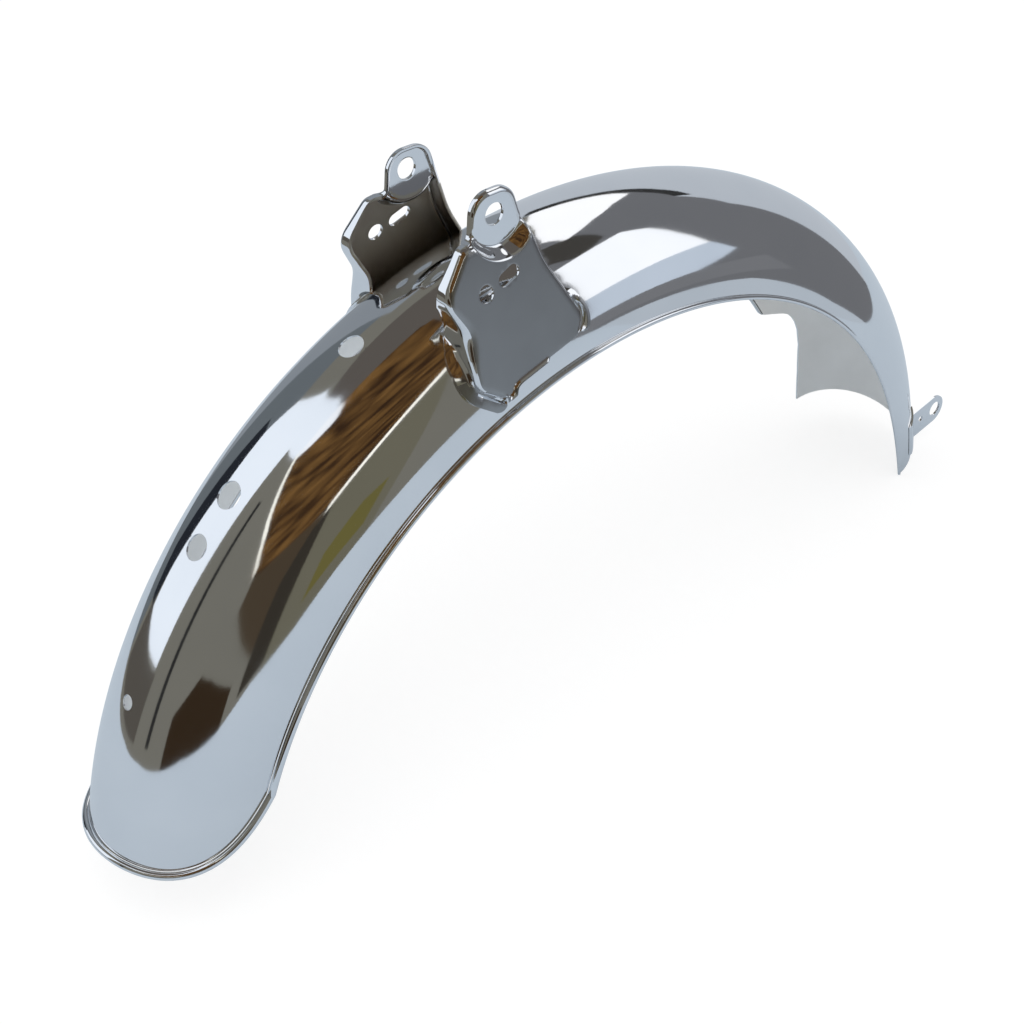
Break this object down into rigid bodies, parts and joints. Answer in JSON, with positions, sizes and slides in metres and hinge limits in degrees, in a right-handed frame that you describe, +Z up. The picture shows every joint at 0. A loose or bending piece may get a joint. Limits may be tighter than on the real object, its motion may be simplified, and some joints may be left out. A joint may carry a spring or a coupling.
{
  "type": "moped rear mudguard",
  "caption": "Chromed steel rear mudguard for a moped: a curved blade with a rolled rim, welded side brackets with ears for the frame bolt, and a small front lug.",
  "frame": {"origin": "on the axis of the frame bolt, midway between the two bracket ears", "axes": "+X forward, +Y left, +Z up, as mounted on the moped"},
  "size_m": [0.6111, 0.1054, 0.3054],
  "materials": {
    "chrome": "bright chrome plate, duller inside the blade"
  },
  "bodies": {
    "root": {"blade": "chrome", "bracket_right": "chrome", "bracket_left": "chrome", "front_lug": "chrome"}
  },
  "joints": []
}
